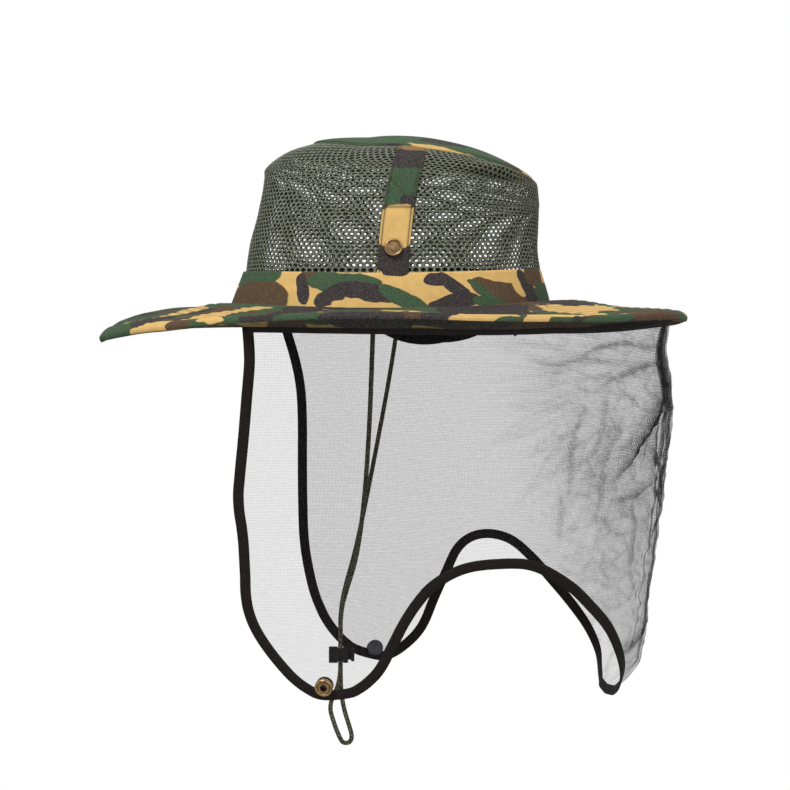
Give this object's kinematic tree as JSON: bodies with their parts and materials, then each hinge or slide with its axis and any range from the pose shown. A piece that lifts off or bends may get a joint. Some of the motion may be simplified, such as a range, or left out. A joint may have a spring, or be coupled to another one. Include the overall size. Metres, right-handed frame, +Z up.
{
  "type": "head net hat",
  "caption": "Wide-brimmed sun hat with an open-mesh crown and a see-through net curtain hung under the brim round the sides and back, with chin cord and cord lock.",
  "frame": {"origin": "centre of the head opening, in the plane where the crown meets the brim", "axes": "+Z up out of the crown, -X the way the wearer faces (the net is open there), -Y the wearer's left"},
  "size_m": [0.371, 0.343, 0.3847],
  "materials": {
    "camo_cloth": "printed woodland pattern on plain-weave cotton blend",
    "mesh_knit": "open diamond-hole knit, olive grey",
    "net": "fine black polyester net, see-through",
    "black_tape": "black twill binding tape",
    "lining": "black lining cloth",
    "interlining": "stiffening cloth between the brim's plies",
    "brass": "antique brass",
    "dark_metal": "gunmetal lacquer",
    "cord": "braided olive-black cord",
    "lock_plastic": "moulded black",
    "spring_steel": "bright spring wire"
  },
  "bodies": {
    "hat": {"crown_top_panel": "camo_cloth", "crown_seam_tape": "camo_cloth", "crown_mesh_front": "mesh_knit", "crown_mesh_rear": "mesh_knit", "side_strap_left": "camo_cloth", "side_strap_right": "camo_cloth", "crown_snap_stud_left": "brass", "crown_snap_stud_right": "brass", "crown_snap_post_left": "brass", "crown_snap_post_right": "brass", "hatband": "camo_cloth", "sweatband": "lining", "sweatband_flap_left": "lining", "sweatband_flap_right": "lining", "sweatband_rear_tab": "lining", "brim_upper": "camo_cloth", "brim_interlining": "interlining", "brim_lower": "camo_cloth", "brim_edge_binding": "camo_cloth", "veil_top_tape": "black_tape", "net_left_side": "net", "net_right_side": "net", "net_rear": "net", "hem_left_arch": "black_tape", "hem_right_arch": "black_tape", "hem_rear": "black_tape", "cord_anchor_left": "black_tape", "cord_anchor_right": "black_tape", "chin_cord": "cord"},
    "left_corner": {"net_left_corner": "net", "hem_left_corner": "black_tape", "snap_socket_left": "brass", "snap_cap_left": "dark_metal"},
    "right_corner": {"net_right_corner": "net", "hem_right_corner": "black_tape", "snap_socket_right": "brass", "snap_cap_right": "dark_metal"},
    "cord_lock": {"cord_lock_body": "lock_plastic", "cord_lock_spring": "spring_steel"},
    "lock_plunger": {"cord_lock_plunger": "lock_plastic"}
  },
  "joints": [
    {"name": "left_corner_fold", "type": "hinge", "parent": "hat", "child": "left_corner", "pos_m": [-0.088, -0.1373, -0.026], "axis": [0.5755, 0.1337, -0.8068], "range_deg": [-100, 60]},
    {"name": "right_corner_fold", "type": "hinge", "parent": "hat", "child": "right_corner", "pos_m": [-0.073, 0.13939, -0.026], "axis": [-0.5652, 0.1369, 0.8135], "range_deg": [-100, 60]},
    {"name": "cord_lock_slide", "type": "slide", "parent": "hat", "child": "cord_lock", "axis": [0, 0, 1], "range_m": [-0.005, 0.015]},
    {"name": "plunger_press", "type": "slide", "parent": "cord_lock", "child": "lock_plunger", "axis": [-1, 0, 0], "range_m": [0, 0.0017], "stiffness_N_per_m": 800, "springref_m": -0.004, "deforming": ["cord_lock_spring"]}
  ]
}
